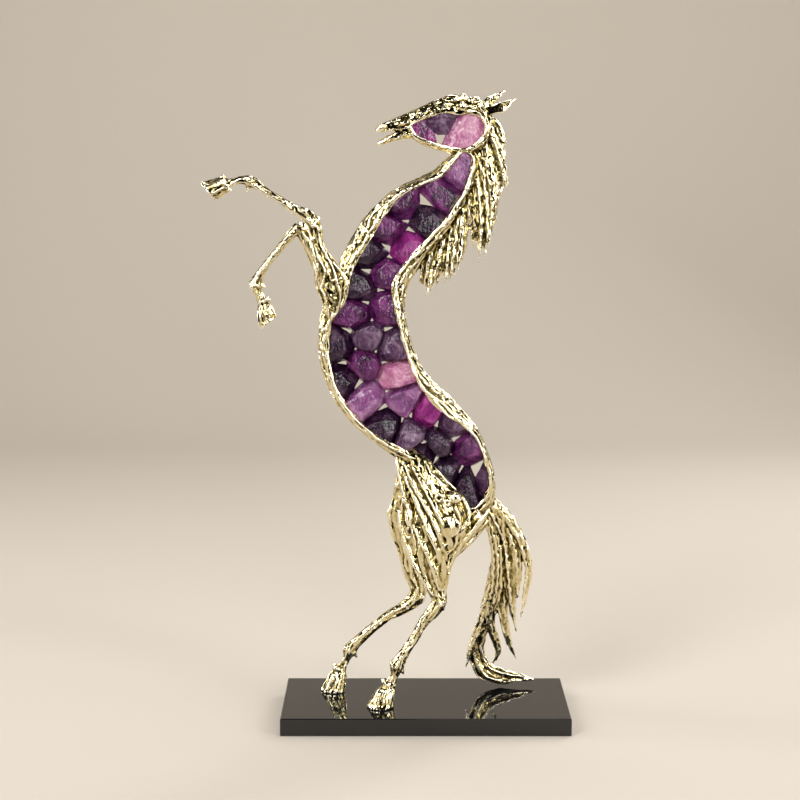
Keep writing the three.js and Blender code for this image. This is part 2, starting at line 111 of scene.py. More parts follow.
HEAD_PANEL = [
    (-24, 944, 11, 12), (-13, 952, 17, 13), (3, 958, 19, 14), (28, 965, 21, 15), (50, 962, 27, 16),
    (69, 964, 24, 17), (86, 957, 20, 17), (93, 940, 13, 17), (84, 921, 13, 17), (68, 909, 10, 17),
    (50, 907, 9, 16), (28, 911, 9, 15), (4, 918, 9, 14), (-15, 927, 8, 12),
]

SHELL_STEP = 5 * MM  # between the sections of a band's shell
SHELL_SIDES = 11
LIP_ANGLE = 1.5  # where the lips' wires lie, in radians from the middle of the band's outside
SINEW_SPREAD = 1.3  # how far from that middle the band's sinews are laid
BAND_NODULE_SPACING = 7 * MM

# Legs: rows of x, z, y, half width and half depth, from the body down over the joints to the hoof
FORELEGS = [
    [(-155, 632, -20, 6, 7), (-151, 654, -22, 15, 11), (-150, 690, -26, 26, 14), (-161, 724, -29, 19, 12),
     (-173, 757, -29, 12, 11), (-176, 784, -29, 11, 11), (-186, 800, -29, 12, 11), (-208, 814, -29, 8.5, 9),
     (-256, 843, -29, 7, 7.5), (-276, 857, -29, 10, 9.5), (-288, 859, -29, 8, 8), (-297, 858, -29, 6.5, 7),
     (-312, 853, -29, 9, 9)],
    [(-152, 640, 16, 8, 8), (-150, 668, 19, 17, 12), (-160, 700, 22, 17, 13), (-178, 735, 24, 13, 11),
     (-196, 768, 24, 11, 10), (-204, 781, 24, 11, 10), (-214, 774, 24, 9, 9), (-226, 760, 24, 7.5, 8),
     (-257, 723, 24, 6.5, 7.5), (-272, 700, 24, 9, 9), (-276, 688, 24, 10, 9.5), (-272, 675, 24, 7, 7.5),
     (-264, 658, 24, 9, 9)],
]
HINDLEGS = [
    [(-30, 426, -14, 8, 8), (-13, 398, -20, 22, 14), (7, 354, -25, 39, 21), (22, 312, -28, 53, 25),
     (16, 277, -31, 40, 24), (9, 244, -34, 26, 19), (14, 206, -37, 16, 14), (23, 180, -38, 13, 13),
     (18, 168, -39, 12, 12), (-3, 142, -40, 9, 9), (-22, 110, -41, 8, 8.5), (-42, 79, -43, 10, 10),
     (-47, 69, -44, 12, 11), (-50, 55, -45, 6.5, 7), (-54, 46, -45, 7.5, 8), (-60, 36, -45, 11, 10)],
    [(-38, 418, 12, 8, 8), (-24, 392, 18, 24, 14), (-13, 342, 23, 42, 20), (-11, 305, 26, 53, 23),
     (-16, 270, 28, 42, 21), (-19, 240, 30, 27, 17), (-18, 205, 32, 18, 14), (-11, 176, 33, 14, 13),
     (-20, 158, 33, 13, 12), (-60, 132, 33, 9, 8.5), (-88, 110, 34, 8.5, 8.5), (-118, 82, 35, 10, 10),
     (-127, 70, 36, 12, 11), (-132, 55, 36, 6.5, 7), (-137, 46, 36, 7.5, 8), (-143, 36, 36, 11, 10)],
]
# Layers of sinews on a leg: how many, radius, span along it, wander, and the share that runs the whole span
FORELEG_SINEWS = [
    (6, 1.7 * MM, (0, 1), 0.2, 0.7),
    (4, 2.3 * MM, (0.5, 0.95), 0.1, 1),
    (10, 1.3 * MM, (0, 1), 0.4, 0),
]
HINDLEG_SINEWS = [
    (6, 1.9 * MM, (0, 1), 0.2, 0.8),
    (15, 3.1 * MM, (0, 0.55), 0.25, 0.2),
    (4, 2.5 * MM, (0.55, 0.95), 0.1, 1),
    (9, 1.3 * MM, (0.5, 1), 0.4, 0),
]
# Lumps on a leg: how many, radius and span along it
FORELEG_NODULES = [(24, 1.8 * MM, (0, 1))]
HINDLEG_NODULES = [(20, 2.4 * MM, (0, 0.55)), (22, 1.7 * MM, (0.5, 1))]
# The share of a leg's half sizes that its core fills, at its top and at its end
FORELEG_CORE = (0.68, 0.68)
HINDLEG_CORE = (0.97, 0.6)
# Spurs behind the fetlocks: rows as the legs have
SPURS = [
    [(-278, 856, -29, 6, 6), (-281, 848, -29, 4, 4), (-283, 840, -29, 1.5, 1.5)],
    [(-270, 690, 24, 5, 5), (-264, 687, 24, 3.5, 3.5), (-259, 684, 24, 1.5, 1.5)],
    [(-42, 68, -44, 5, 5), (-38, 61, -44, 3.5, 3.5), (-36, 55, -44, 1.5, 1.5)],
    [(-121, 69, 36, 5, 5), (-117, 63, 36, 3.5, 3.5), (-114, 58, 36, 1.5, 1.5)],
]
# Joints: x, z, y and radius. Each is a fist of knuckles.
JOINTS = [
    (-179, 795, -29, 13), (-279, 858, -29, 10), (-202, 781, 24, 11.5), (-276, 688, 24, 10.5),
    (24, 176, -39, 13.5), (-47, 70, -44, 12), (-11, 163, 33, 14.5), (-127, 71, 36, 12),
]
KNUCKLES = 12  # on each joint
# Hooves: y, then x, z, half length and tilt in degrees of the top and of the sole, and the heel's share
HOOVES = [
    (-29, (-313, 852, 12, -70), (-342, 839, 20, -50), 0.75),
    (24, (-263, 659, 11, 28), (-255, 627, 19, 39), 0.8),
    (-46, (-60, 38, 12.5, -6), (-72, 0, 24, 0), 0.85),
    (36, (-143, 38, 12, -6), (-153, 0, 22, 0), 0.85),
]
# Rings round a hoof's top and sole: share of the half length, and thousandths above the row
HOOF_TOP_RINGS = [(0.8, 4), (0.88, 0), (0.95, -4)]
HOOF_SOLE_RINGS = [(0.99, 3), (1.02, 1), (0.98, 0)]
HOOF_SIDES = 28
HOOF_RIBS = 7
HOOF_WIDTH = 0.85  # a hoof's width as a share of its length

# The near haunch's ridges, which fan out from the groin and the croup: rows of x and z
HAUNCH_RIDGES = [
    [(-35, 409), (-29, 394), (-13, 361), (8, 325), (23, 289), (33, 247)],
    [(-42, 416), (-34, 388), (-22, 361), (-6, 323), (13, 280), (27, 243), (26, 200)],
    [(-47, 416), (-42, 388), (-34, 355), (-22, 313), (-3, 272), (14, 230), (23, 197)],
    [(-20, 400), (-4, 372), (10, 345), (24, 318), (36, 290), (40, 255)],
    [(104, 330), (82, 300), (58, 272), (42, 245), (33, 215), (29, 185)],
    [(70, 316), (58, 292), (46, 262), (36, 228), (28, 190)],
    [(-44, 330), (-36, 290), (-22, 250), (-2, 215), (14, 188)],
]
RIDGE_RADIUS = 2.5 * MM
RIDGE_PAIR = ((-1.6, 0.5), (1.8, -0.5))  # a ridge is two strands: the shift in x of each, and its rise in mm
# The webs behind the haunches, near and far, from the croup to above the hock: rows as the legs have
BUTTOCKS = [
    [(91, 319, -16, 19, 14), (66, 294, -21, 24, 15), (43, 263, -24, 17, 12), (22, 236, -30, 12, 10),
     (19, 205, -35, 7, 7)],
    [(92, 318, 14, 16, 13), (58, 298, 18, 20, 13), (26, 270, 22, 17, 12), (0, 238, 28, 12, 10),
     (-9, 205, 31, 7, 7)],
]
BUTTOCK_CORE = 0.74
BUTTOCK_SINEWS = (18, 2.1 * MM, (0, 1), 0.25, 0.6)  # given as a leg's layer is
# Drops of metal left on the near haunch: x, z and radius
DROPS = [(-35, 345, 3.4 * MM), (-27, 285, 3.2 * MM), (-28, 299, 1.7 * MM), (3, 262, 2.2 * MM)]
# Hollows of the near haunch: x, z, y, radius and rim. Its smooth bulges: x, z, y, radius and stretch.
HOLLOWS = [(22, 352, -48, 3.8 * MM, 1.8 * MM), (34, 344, -50, 2.8 * MM, 1.6 * MM)]
SMOOTH_BULGES = [(45, 350, -38, 8.5 * MM, (1.1, 0.9, 0.9)), (38, 304, -51, 9.5 * MM, (1.3, 0.36, 1.3)),
                 (-27, 318, -46, 6 * MM, (0.7, 0.6, 1.8))]

# The head: jaws, ears and ridges
JAWS = [
    [(-25, 948, 0, 12, 12), (-38, 946, 0, 11, 12), (-52, 944, 0, 10, 11), (-67, 940, 0, 8, 10),
     (-80, 936, 0, 4, 8)],
    [(-24, 930, 0, 8, 9), (-44, 929, 0, 8, 9), (-62, 922, 0, 6, 8), (-77, 915, 0, 4, 6)],
]
EARS = [
    [(90, 970, 10, 8, 6), (98, 979, 11, 9, 5), (108, 986, 13, 7, 4), (127, 999, 14, 1, 1)],
    [(90, 966, -10, 6, 6), (102, 968, -11, 7, 4), (118, 972, -13, 8, 3), (141, 984, -14, 1, 1)],
]
FACE_RIDGES = [
    [(88, 976), (62, 986), (34, 980), (4, 972), (-24, 960), (-52, 950), (-72, 943)],
    [(80, 966), (58, 974), (30, 974), (2, 966), (-24, 954), (-50, 944)],
    [(64, 984), (40, 989), (12, 979), (-18, 966), (-44, 955), (-62, 948)],
]
FACE_RIDGE_DEPTHS = (9, 13, 4)  # how far each ridge lies from the middle plane at the poll
FACE_RIDGE_RADIUS = 2.1 * MM
# Knobs of the poll and the brow: x, z, y and radius
KNOBS = [
    (96, 969, 0, 12), (57, 974, -13, 7), (57, 974, 13, 7), (70, 982, -8, 6), (70, 982, 8, 6),
    (46, 984, -9, 5), (46, 984, 9, 5), (84, 977, -9, 6), (84, 977, 9, 6), (58, 988, 0, 7), (78, 985, 0, 6),
]
NOSTRIL = (-71, 941, 9, 2.1 * MM, 1.1 * MM)  # x, z, y, radius and rim

# Hair: the mane's guide locks are root, middle and tip as x and z, from the poll down, in three hanks
MANE = [
    [((98, 960), (115, 940), (127, 912)), ((95, 952), (117, 893), (132, 841)),
     ((92, 944), (116, 876), (121, 826))],
    [((90, 940), (113, 868), (114, 818)), ((88, 934), (108, 850), (110, 780)),
     ((84, 924), (102, 827), (102, 755)), ((80, 914), (95, 811), (97, 738)),
     ((76, 902), (86, 803), (86, 721)), ((70, 885), (76, 808), (72, 757))],
    [((66, 868), (66, 812), (64, 762)), ((61, 842), (60, 772), (56, 714)),
     ((52, 822), (45, 750), (39, 690)), ((43, 808), (28, 737), (21, 690)),
     ((30, 796), (12, 725), (-1, 670)), ((16, 778), (-3, 730), (-12, 690))],
]
MANE_LOCKS = (9, 26, 26)  # in each hank
MANE_LOCK_WIDTHS = (5, 6.5, 4.5, 1.5)  # half widths of a lock from its root to its tip
MANE_HALF_DEPTH = 10
# A lock's strands: how many, radius, the core's share of the lock, and how far out the strands lie in it
MANE_STRANDS = (6, 1.15 * MM, 0.4, (0.45, 1.1))
TAIL_STRANDS = (12, 1.35 * MM, 0.72, (0.85, 1.12))
CRINKLE = 0.5 * MM
CRINKLE_LENGTH = (9 * MM, 22 * MM)
# The tail's locks are rows of x, z, y and half width
TAIL = [
    [(88, 354, 2, 7), (99, 340, 3, 12), (114, 314, 6, 14), (124, 288, 8, 12), (131, 262, 10, 3)],
    [(100, 342, 2, 9), (134, 310, 2, 9), (159, 266, 3, 8.5), (171, 222, 4, 7), (167, 182, 6, 5.5),
     (159, 135, 8, 1.5)],
    [(96, 344, 5, 8), (120, 316, 6, 9), (146, 262, 8, 9), (154, 215, 10, 7), (153, 168, 13, 2)],
    [(98, 338, 8, 10), (128, 285, 11, 12), (139, 225, 13, 12), (144, 165, 18, 8), (153, 105, 22, 1.5)],
    [(98, 328, 14, 9), (121, 266, 18, 12), (128, 207, 22, 12), (130, 138, 30, 9), (141, 86, 36, 6),
     (154, 55, 38, 1.5)],
    [(96, 328, 6, 8), (117, 256, 10, 10), (119, 187, 18, 11), (110, 120, 34, 8), (124, 66, 48, 6),
     (115, 42, 52, 2)],
    [(98, 326, 12, 7), (123, 253, 20, 10), (117, 176, 32, 11), (99, 114, 46, 12), (89, 66, 56, 13),
     (101, 31, 59, 16), (129, 16, 60, 16), (158, 13, 62, 9.5), (188, 10, 64, 2)],
    [(116, 231, 20, 7), (107, 180, 22, 7), (92, 147, 22, 1.5)],
    [(95, 106, 46, 7), (79, 71, 50, 5.5), (70, 35, 52, 1.5)],
]
LOCK_FLATNESS = 0.8

# The view: the photograph's camera, found from the slab's four top corners
LENS_MM = 77.16
SENSOR_MM = 36
CAMERA_PLACE = (-28.38 * MM, -1868.43 * MM, 667.45 * MM)
LOOKS_DOWN = 9.261  # degrees

# The studio, in metres and watts: each soft box has a name, a place, a width and height, and a power
SOFT_BOXES = [
    ("key", (-1.5, -1.7, 1.8), (0.9, 1.3), 40),
    ("fill", (1.9, -1.4, 1.1), (0.5, 1.6), 26),
    ("front", (0.5, -2.6, 0.9), (0.25, 1.4), 14),
    ("top", (0.1, 0.1, 2.4), (1.4, 0.5), 26),
    ("left", (-1.9, 0.3, 0.8), (0.3, 1.3), 14),
    ("rim", (1.1, 1.2, 1.3), (0.5, 1.2), 16),
]
SOFT_BOX_AIM = (-0.03, 0, 0.36)
SOFT_STRIPS = 7  # upright strips of light round the room, with dark flags between them
STRIP_LIGHT = 2.2
# Colours across half a strip, and from the floor to the ceiling, as the polished metal mirrors them
STRIP_TONES = [(0.0, "#f8f4ec"), (0.4, "#efe9de"), (0.5, "#14110c"), (1.0, "#080705")]
HEIGHT_TONES = [
    (0.3, "#141414"), (0.4, "#ffffff"), (0.64, "#ffffff"), (0.67, "#141414"), (0.73, "#141414"),
    (0.76, "#ffffff"), (0.84, "#ffffff"), (0.88, "#141414"), (0.95, "#141414"), (0.98, "#c0c0c0"),
]
BACKDROP_TONE = "#cfc6ba"
FLOOR_TONE = "#bdb4a8"
SWEEP_FRONT = -0.75
SWEEP_BACK = 1.6
SWEEP_BEND = 1.0  # radius of the bend where the floor turns upright
SWEEP_HEIGHT = 3.5
SWEEP_HALF_WIDTH = 4.0
BEND_STEPS = 16


def place(x, z, y=0.0):
    """A point of the pose in metres."""
    return np.array((x * SHARE, y * SHARE, GROUND + z * SHARE))


def unit(vectors):
    return vectors / np.linalg.norm(vectors, axis=-1, keepdims=True)


# Wax: closed skins that are fused later


class Wax:
    """Closed skins gathered for one casting."""

    def __init__(self):
        self.points = []
        self.faces = []
        self.paths = []
        self.count = 0

    def add(self, rings, ends=None):
        """Skin over rings of points: closed on itself, or with a point at each end."""
        rings = np.asarray(rings, float)
        n, sides = rings.shape[:2]
        spans = n - 1 if ends is not None else n
        i = np.arange(spans)[:, None] * sides
        after = ((np.arange(spans) + 1) % n)[:, None] * sides
        j = np.arange(sides)[None, :]
        k = (j + 1) % sides
        quads = np.stack([i + j, i + k, after + k, after + j], axis=-1).reshape(-1, 4)
        self.points.append(rings.reshape(-1, 3))
        self.faces.extend((quads + self.count).tolist())
        total = n * sides
        if ends is not None:
            self.points.append(np.asarray(ends, float))
            j = np.arange(sides)
            k = (j + 1) % sides
            start = np.stack([np.full(sides, total), k, j], axis=-1)
            last = (n - 1) * sides
            finish = np.stack([np.full(sides, total + 1), last + j, last + k], axis=-1)
            self.faces.extend((np.vstack([start, finish]) + self.count).tolist())
            total += 2
        self.count += total

    def mesh(self, name):
        mesh = bpy.data.meshes.new(name)
        mesh.from_pydata(np.vstack(self.points).tolist(), [], self.faces)
        return mesh


def smooth_rows(rows, step, closed=False):
    """Rows about one step apart, on a smooth curve through the given ones, which begin with a place."""
    rows = np.asarray(rows, float)
    if closed:
        rows = np.vstack([rows[-1:], rows, rows[:2]])
    else:
        rows = np.vstack([2 * rows[0] - rows[1], rows, 2 * rows[-1] - rows[-2]])
    gaps = np.sqrt(np.linalg.norm(np.diff(rows[:, :3], axis=0), axis=1))
    knots = np.concatenate([[0], np.cumsum(gaps)])
    fine = []
    for a in range(1, len(rows) - 2):
        p0, p1, p2, p3 = rows[a - 1:a + 3]
        t0, t1, t2, t3 = knots[a - 1:a + 3]
        slope1 = (t2 - t1) * ((p1 - p0) / (t1 - t0) - (p2 - p0) / (t2 - t0) + (p2 - p1) / (t2 - t1))
        slope2 = (t2 - t1) * ((p2 - p1) / (t2 - t1) - (p3 - p1) / (t3 - t1) + (p3 - p2) / (t3 - t2))
        s = np.linspace(0, 1, CURVE_STEPS, endpoint=False)[:, None]
        fine.append((2 * s**3 - 3 * s**2 + 1) * p1 + (s**3 - 2 * s**2 + s) * slope1
                    + (3 * s**2 - 2 * s**3) * p2 + (s**3 - s**2) * slope2)
    fine.append(rows[-2:-1])
    fine = np.vstack(fine)
    run = np.concatenate([[0], np.cumsum(np.linalg.norm(np.diff(fine[:, :3], axis=0), axis=1))])
    count = max(3, round(run[-1] / step)) + 1
    marks = np.linspace(0, run[-1], count)
    return np.stack([np.interp(marks, run, column) for column in fine.T], axis=1)


class Form:
    """What strands are laid along: a line with two cross directions and a half size in each."""

    def __init__(self, middle, across, side, width, depth):
        self.middle, self.across, self.side, self.width, self.depth = middle, across, side, width, depth
        self.run = np.concatenate([[0], np.cumsum(np.linalg.norm(np.diff(middle, axis=0), axis=1))])
        self.length = self.run[-1]

    def at(self, values, share):
        marks = share * self.length
        if values.ndim == 1:
            return np.interp(marks, self.run, values)
        return np.stack([np.interp(marks, self.run, column) for column in values.T], axis=1)

    def offset(self, share, reach, rise):
        """Points at a share of the length, off the line by a reach and a rise in metres."""
        reach, rise = (np.broadcast_to(v, share.shape)[:, None] for v in (reach, rise))
        out = self.at(self.across, share) * reach
        return self.at(self.middle, share) + out + self.at(self.side, share) * rise

    def skin(self, share, angle, inset):
        """Points at a share of the length and an angle round the form, set in from its skin."""
        width, depth = self.at(self.width, share), self.at(self.depth, share)
        out = unit(np.stack([np.cos(angle) / width, np.sin(angle) / depth], axis=1))
        inset = np.minimum(inset, 0.9 * np.minimum(width, depth))
        reach = width * np.cos(angle) - inset * out[:, 0]
        rise = depth * np.sin(angle) - inset * out[:, 1]
        return self.offset(share, reach, rise)

    def inside(self, share, across, side):
        """Points at a share of the length and at shares of the half sizes."""
        return self.offset(share, self.at(self.width, share) * across, self.at(self.depth, share) * side)


def limb_form(rows):
    """A form round a limb or a lock, from rows of x, z, y, half width and half depth."""
    path = smooth_rows([(*place(x, z, y), w * SHARE, d * SHARE) for x, z, y, w, d in rows], FORM_STEP)
    middle = path[:, :3]
    along = unit(np.gradient(middle, axis=0))
    side = unit(np.array((0, 1.0, 0)) - along * along[:, 1:2])
    return Form(middle, np.cross(side, along), side, path[:, 3], path[:, 4])


def band_form(edge):
    """A form round a panel: half an oval outside its edge, which turns from the near lip to the far one."""
    path = smooth_rows([(*place(x, z), w * SHARE, d * SHARE) for x, z, w, d in edge], FORM_STEP, closed=True)
    middle = path[:, :3]
    along = unit(np.roll(middle[:-1], -1, axis=0) - np.roll(middle[:-1], 1, axis=0))
    along = np.vstack([along, along[:1]])
    x, z = middle[:, 0], middle[:, 2]
    turn = np.sign(np.sum(x[:-1] * z[1:] - x[1:] * z[:-1]))
    out = np.stack([along[:, 2], np.zeros(len(x)), -along[:, 0]], axis=1) * turn
    side = np.tile((0, 1.0, 0), (len(x), 1))
    return Form(middle, out, side, path[:, 3], path[:, 4])


def tube(wax, points, radii, sides=6):
    """A round tube through the points, with domed ends."""
    wax.paths.append(points)
    along = unit(np.gradient(points, axis=0))
    normal = np.cross(along[0], (0.3, 0.9, 0.2))
    turns = 2 * math.pi * np.arange(sides) / sides
    rings = []
    for point, way, radius in zip(points, along, radii):
        normal = unit(normal - way * normal.dot(way))
        other = np.cross(way, normal)
        rings.append(point + radius * (np.outer(np.cos(turns), normal) + np.outer(np.sin(turns), other)))
    ends = [points[0] - along[0] * radii[0] * 0.7, points[-1] + along[-1] * radii[-1] * 0.7]
    wax.add(rings, ends)


def wave(t, slow, fast):
    """A wandering value between about -1 and 1."""
    a, b = rng.uniform(0, 2 * math.pi, 2)
    cycles = rng.uniform(slow, fast)
    return 0.7 * np.sin(2 * math.pi * cycles * t + a) + 0.3 * np.sin(2 * math.pi * 2.3 * cycles * t + b)


def swelling(t, length, radius, taper):
    """A strand's radius along it: it swells and thins every few centimetres, and tapers at both ends."""
    cycles = length / SWELL_LENGTH
    ends = np.clip(np.minimum(t, 1 - t) * length / (6 * radius), 0, 1)
    return radius * (1 + 0.25 * wave(t, 0.7 * cycles, 1.5 * cycles)) * (taper + (1 - taper) * ends)


def strand(wax, form, angle, proud, radius, span=(0, 1), wander=0, taper=0.35):
    """A strand of wax along a form, standing proud of its skin and wandering round it."""
    length = form.length * (span[1] - span[0])
    t = np.linspace(0, 1, max(5, round(length / STRAND_STEP)))
    cycles = length / WANDER_LENGTH
    share = span[0] + t * (span[1] - span[0])
    radii = swelling(t, length, radius, taper)
    tube(wax, form.skin(share, angle + wander * wave(t, 0.7 * cycles, 1.3 * cycles), radii - proud), radii)


def core(wax, form, fullness, sides=12):
    """The solid middle of a limb or lock: it fills a share of the half sizes, or one share at each end."""
    shares = np.linspace(0, 1, max(4, round(form.length / CORE_STEP)))
    turns = 2 * math.pi * np.arange(sides) / sides
    rings = []
    for share, full in zip(shares, np.linspace(*np.broadcast_to(fullness, 2), len(shares))):
        rings.append(form.inside(np.full(sides, share), full * np.cos(turns), full * np.sin(turns)))
    wax.add(rings, [rings[0].mean(0), rings[-1].mean(0)])


def sinews(wax, form, count, radius, span=(0, 1), wander=0.12, full=0.45):
    """Sinews round a limb: a share of them run the whole span, the others a part of it."""
    for i in range(count):
        angle = 2 * math.pi * (i + rng.uniform(-0.25, 0.25)) / count
        low, high = span
        if rng.random() > full:
            middle = rng.uniform(low, high)
            half = rng.uniform(0.12, 0.3) * (high - low)
            low, high = max(low, middle - half), min(high, middle + half)
        proud = radius * rng.uniform(-0.3, 0.2)
        strand(wax, form, angle, proud, radius * rng.uniform(0.75, 1.25), (low, high), wander)


def ball(wax, centre, radius, stretch=(1, 1, 1), sides=12):
    """A round mass."""
    turns = 2 * math.pi * np.arange(sides) / sides
    stretch = np.asarray(stretch)
    rings = []
    for tilt in np.linspace(0, math.pi, BALL_RINGS + 2)[1:-1]:
        level = np.full(sides, np.cos(tilt))
        ring = np.stack([np.sin(tilt) * np.cos(turns), np.sin(tilt) * np.sin(turns), level], axis=1)
        rings.append(centre + radius * stretch * ring)
    wax.add(rings, [centre + radius * stretch * (0, 0, 1), centre - radius * stretch * (0, 0, 1)])


def nodules(wax, form, count, radius, angles=(0, 2 * math.pi), span=(0, 1)):
    """Small lumps of wax half sunk in a form's skin."""
    for _ in range(count):
        size = radius * rng.uniform(0.6, 1.3)
        spot = form.skin(np.array([rng.uniform(*span)]), np.array([rng.uniform(*angles)]), 0.75 * size)[0]
        ball(wax, spot, size, rng.uniform(0.8, 1.3, 3), sides=8)


def hollow(wax, centre, radius, rim):
    """A ring of wax that faces the near side, which leaves a small hollow."""
    turns = np.linspace(0, 2 * math.pi, HOLLOW_CORNERS + 1)
    ring = centre + radius * np.stack([np.cos(turns), 0 * turns, np.sin(turns)], axis=1)
    tube(wax, ring, np.full(len(ring), rim))


# The horse


def pieces_round(shortest, longest):
    """Overlapping shares of a whole run, of chance lengths."""
    start = 0.0
    while start < 1 - shortest / 2:
        end = min(1, start + rng.uniform(shortest, longest))
        yield start, end
        start = end - 0.1 * shortest


def panel_band(wax, edge, let_in, strands, radius):
    """The gold band round a panel: a shell, two lip wires and the sinews laid over it."""
    form = band_form(edge)
    shares = np.linspace(0, 1, max(60, round(form.length / SHELL_STEP)))[:-1]
    angles = np.linspace(-math.pi / 2, math.pi / 2, SHELL_SIDES)
    rings = []
    for share in shares:
        share = np.full(len(angles), share)
        shell = form.skin(share, angles, 1.1 * radius)
        out = form.at(form.across, share[:1])
        rings.append(np.vstack([shell, shell[-1] - out[0] * let_in, shell[0] - out[0] * let_in]))
    wax.add(rings)
    for angle in (-LIP_ANGLE, LIP_ANGLE):
        for span in pieces_round(0.03, 0.1):
            strand(wax, form, angle * rng.uniform(0.93, 1), rng.uniform(-0.6, 0.1) * MM,
                   rng.uniform(1.1, 1.7) * MM, span, wander=0.12, taper=0.45)
    for i in range(strands):
        middle = -SINEW_SPREAD + 2 * SINEW_SPREAD * (i + 0.5) / strands
        for span in pieces_round(0.03, 0.12):
            strand(wax, form, middle + rng.uniform(-0.15, 0.15), radius * rng.uniform(-0.3, 0.2),
                   radius * rng.uniform(0.7, 1.3), span, wander=0.2, taper=0.2)
    nodules(wax, form, round(form.length / BAND_NODULE_SPACING), 1.2 * radius, (-1.4, 1.4))


def hoof(wax, y, top, sole, heel):
    """A hoof: knobbed at the top, flaring to a flat sole, its heel cut square and its wall ribbed."""

    def edge(row, grow, lift):
        x, z, half, degrees = row
        angle = math.radians(degrees)
        forward = np.array((-math.cos(angle), 0, -math.sin(angle)))
        up = np.array((math.sin(angle), 0, math.cos(angle)))
        turns = 2 * math.pi * (np.arange(HOOF_SIDES) + 0.5) / HOOF_SIDES
        reach = np.maximum(np.cos(turns), -heel)
        rib = 1 + 0.04 * np.cos(turns * HOOF_RIBS)
        flat = (reach * rib * half * grow * SHARE)[:, None] * forward
        cross = (np.sin(turns) * rib * half * grow * HOOF_WIDTH * SHARE)[:, None] * np.array((0, 1.0, 0))
        return place(x, z, y) + flat + cross + up * lift * SHARE

    rings = [edge(top, grow, lift) for grow, lift in HOOF_TOP_RINGS]
    for point in rings[0][::3]:
        spot = point + (0, 0, rng.uniform(-3.5, 1.5) * MM)
        ball(wax, spot, rng.uniform(1.4, 2.6) * MM, rng.uniform(0.7, 1.4, 3), sides=8)
    for t in (0.2, 0.4, 0.6, 0.8):
        rings.append(edge([a + (b - a) * t for a, b in zip(top, sole)], 0.97, 0))
    rings += [edge(sole, grow, lift) for grow, lift in HOOF_SOLE_RINGS]
    wax.add(rings, [place(top[0], top[1], y), place(sole[0], sole[1], y)])
    walls = np.array(rings[2:-1])
    for column in range(0, HOOF_SIDES, 2):
        wall = walls[:, (column + rng.integers(0, 2)) % HOOF_SIDES]
        wall = smooth_rows(wall, STRAND_STEP)[rng.integers(0, 2):-1]
        t = np.linspace(0, 1, len(wall))
        tube(wax, wall, swelling(t, len(wall) * STRAND_STEP, 1.2 * MM, 0.4))


def hair_lock(wax, rows, strands, radius, fullness, reach):
    """A lock of hair: crinkled strands through and round a thin core."""
    form = limb_form([(x, z, y, w, w * LOCK_FLATNESS) for x, z, y, w in rows])
    core(wax, form, fullness, sides=8)
    for i in range(strands):
        turn = 2 * math.pi * (i + rng.uniform(-0.3, 0.3)) / strands
        out = rng.uniform(*reach)
        first, last = rng.uniform(0, 0.1), rng.uniform(0.82, 1.0)
        length = form.length * (last - first)
        t = np.linspace(0, 1, max(6, round(length / STRAND_STEP)))
        turns = 2 * math.pi * t * length / rng.uniform(*CRINKLE_LENGTH)
        crinkle = CRINKLE * np.sin(turns + rng.uniform(0, 6))
        share = first + t * (last - first)
        radii = swelling(t, length, radius * rng.uniform(0.75, 1.2), 0.25)
        drift = rng.uniform(-0.8, 0.8) * t
        width, depth = form.at(form.width, share), form.at(form.depth, share)
        points = form.offset(share, np.maximum(width - radii, 0) * out * np.cos(turn + drift) + crinkle,
                             np.maximum(depth - radii, 0) * out * np.sin(turn + drift) + 0.5 * crinkle)
        tube(wax, points, radii)


def mane(wax):
    """Hanks of hair behind the crest, each filled with thin locks between its guides."""
    for guides, count in zip(MANE, MANE_LOCKS):
        guides = np.array(guides, float)
        for i in range(count):
            at = np.clip((i + rng.uniform(-0.4, 0.4)) / (count - 1), 0, 1) * (len(guides) - 1)
            low = min(int(at), len(guides) - 2)
            root, middle, tip = guides[low] + (guides[low + 1] - guides[low]) * (at - low)
            # Every fourth lock keeps its whole length, the others end sooner
            tip = middle + (tip - middle) * (rng.uniform(0.55, 0.97) if i % 4 else 1)
            late = middle + (tip - middle) * 0.6
            y = rng.uniform(-1, 1) * MANE_HALF_DEPTH * 0.5
            splay = rng.uniform(-1, 1) * MANE_HALF_DEPTH * 0.4
            depths = (y, y + splay / 2, y + splay, y + splay)
            stations = zip((root, middle, late, tip), depths, MANE_LOCK_WIDTHS)
            hair_lock(wax, [(*spot, depth, width) for spot, depth, width in stations], *MANE_STRANDS)


def haunch_skin(x, z, rows):
    """How far toward the near side the haunch reaches at a place, in thousandths."""
    rows = np.array(rows)[::-1]
    middle_x, middle_y, width, depth = (np.interp(z, rows[:, 1], rows[:, i]) for i in (0, 2, 3, 4))
    return middle_y - depth * math.sqrt(max(0.1, 1 - ((x - middle_x) / width) ** 2))


def haunch_relief(wax):
    """The near haunch's ridges, drops, hollowed knob and smooth patch."""
    thigh = HINDLEGS[0][:8]  # the rows above the hock
    for ridge in HAUNCH_RIDGES:
        for shift, proud in RIDGE_PAIR:
            path = smooth_rows([place(x + shift, z, haunch_skin(x, z, thigh)) for x, z in ridge], STRAND_STEP)
            t = np.linspace(0, 1, len(path))
            radii = swelling(t, len(path) * STRAND_STEP, RIDGE_RADIUS * rng.uniform(0.8, 1.1), 0.3)
            path[:, 1] += radii * 0.5 - proud * MM
            tube(wax, path, radii)
    for x, z, radius in DROPS:
        ball(wax, place(x, z, haunch_skin(x, z, thigh)) + (0, -0.3 * radius, 0), radius)
    for x, z, y, radius, rim in HOLLOWS:
        hollow(wax, place(x, z, y), radius, rim)
    for x, z, y, radius, stretch in SMOOTH_BULGES:
        ball(wax, place(x, z, y), radius, stretch, sides=20)


